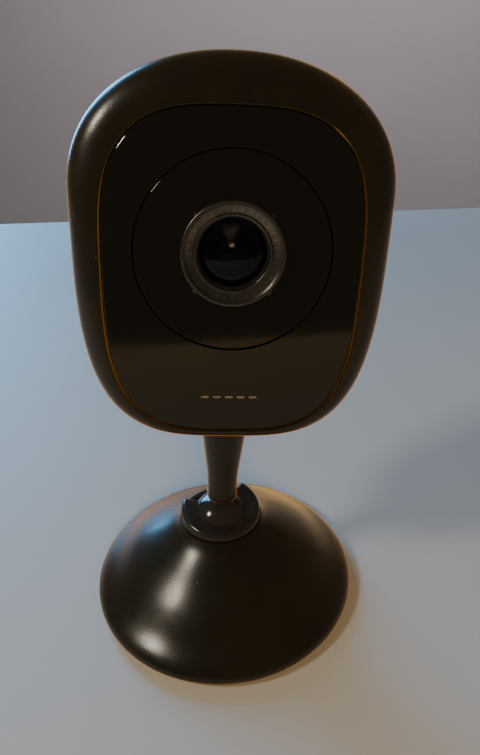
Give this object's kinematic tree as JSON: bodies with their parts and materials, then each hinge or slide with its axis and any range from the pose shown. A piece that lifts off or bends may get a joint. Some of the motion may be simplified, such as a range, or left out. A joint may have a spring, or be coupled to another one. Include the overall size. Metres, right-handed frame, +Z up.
{
  "type": "network camera",
  "caption": "Compact network camera: a flat rounded head with a glossy front panel and round lens, on a slim stem and ball joint above a round weighted base.",
  "frame": {"origin": "centre of the foot pad's underside, on the surface that the camera stands on", "axes": "+Z up, -Y towards what the lens looks at, +X to the right seen from the front"},
  "size_m": [0.0656, 0.062, 0.117],
  "materials": {
    "shell_plastic": "satin black, fine moulded grain",
    "gloss_black": "high-gloss piano black",
    "collar_plastic": "glossy dark grey, moulded",
    "plain_plastic": "plain matt black",
    "dark_chrome": "bronze-tinted dark chrome with polished edges",
    "lens_glass": "coated optical glass",
    "clear_plastic": "frosted clear",
    "steel": "zinc plated",
    "rubber": "soft matt black",
    "circuit_board": "green solder mask",
    "chip_plastic": "moulded epoxy",
    "aluminium": "bare, extruded"
  },
  "bodies": {
    "base": {"base_dome": "shell_plastic", "socket_collar": "collar_plastic", "ball_seat": "plain_plastic", "pressure_spring": "steel", "clamp_plate": "plain_plastic", "clamp_screws": "steel", "base_weight": "steel", "base_plate": "plain_plastic", "base_plate_screws": "steel", "foot_pad": "rubber"},
    "ball_core": {"ball_core": "steel"},
    "ball": {"ball_stud": "collar_plastic", "stem_washer": "steel", "stem_screw": "steel"},
    "head": {"antenna": "steel", "aperture_stop": "plain_plastic", "board_screws": "steel", "capacitors": "steel", "case_screws": "steel", "clock_crystal": "steel", "front_bezel": "shell_plastic", "front_panel": "gloss_black", "heat_spreader": "aluminium", "image_sensor": "chip_plastic", "ir_cut_filter": "lens_glass", "lens_barrel": "plain_plastic", "lens_disc": "gloss_black", "lens_glass_front": "lens_glass", "lens_glass_middle": "lens_glass", "lens_glass_rear": "lens_glass", "lens_holder": "plain_plastic", "lens_holder_screws": "steel", "lens_trim_ring": "dark_chrome", "light_pipe": "clear_plastic", "main_board": "circuit_board", "memory_chip": "chip_plastic", "micro_usb_socket": "steel", "microphone": "steel", "microphone_boot": "rubber", "neck_clamp": "plain_plastic", "neck_screws": "steel", "panel_tape": "rubber", "power_inductor": "chip_plastic", "processor_chip": "chip_plastic", "radio_chip": "chip_plastic", "radio_shield": "steel", "rear_cover": "shell_plastic", "reset_switch": "plain_plastic", "status_led": "clear_plastic", "stem": "shell_plastic", "thermal_pad": "rubber"},
    "reset_button": {"reset_button": "plain_plastic"}
  },
  "joints": [
    {"name": "fold", "type": "hinge", "parent": "base", "child": "ball_core", "pos_m": [0, 0, 0.0188], "axis": [0.9397, 0.342, 0], "range_deg": [-41.71, 23.29]},
    {"name": "lean", "type": "hinge", "parent": "ball_core", "child": "ball", "pos_m": [0, 0, 0.0188], "axis": [-0.3393, 0.9321, -0.1268], "range_deg": [-23.8, 10.2]},
    {"name": "turn", "type": "hinge", "parent": "ball", "child": "head", "pos_m": [0, 0, 0.0188], "axis": [0.0682, 0.1588, 0.9849], "continuous": true},
    {"name": "reset_press", "type": "slide", "parent": "head", "child": "reset_button", "axis": [0.0493, -0.9866, 0.1557], "range_m": [0, 0.0004], "stiffness_N_per_m": 400, "springref_m": -0.0004}
  ]
}
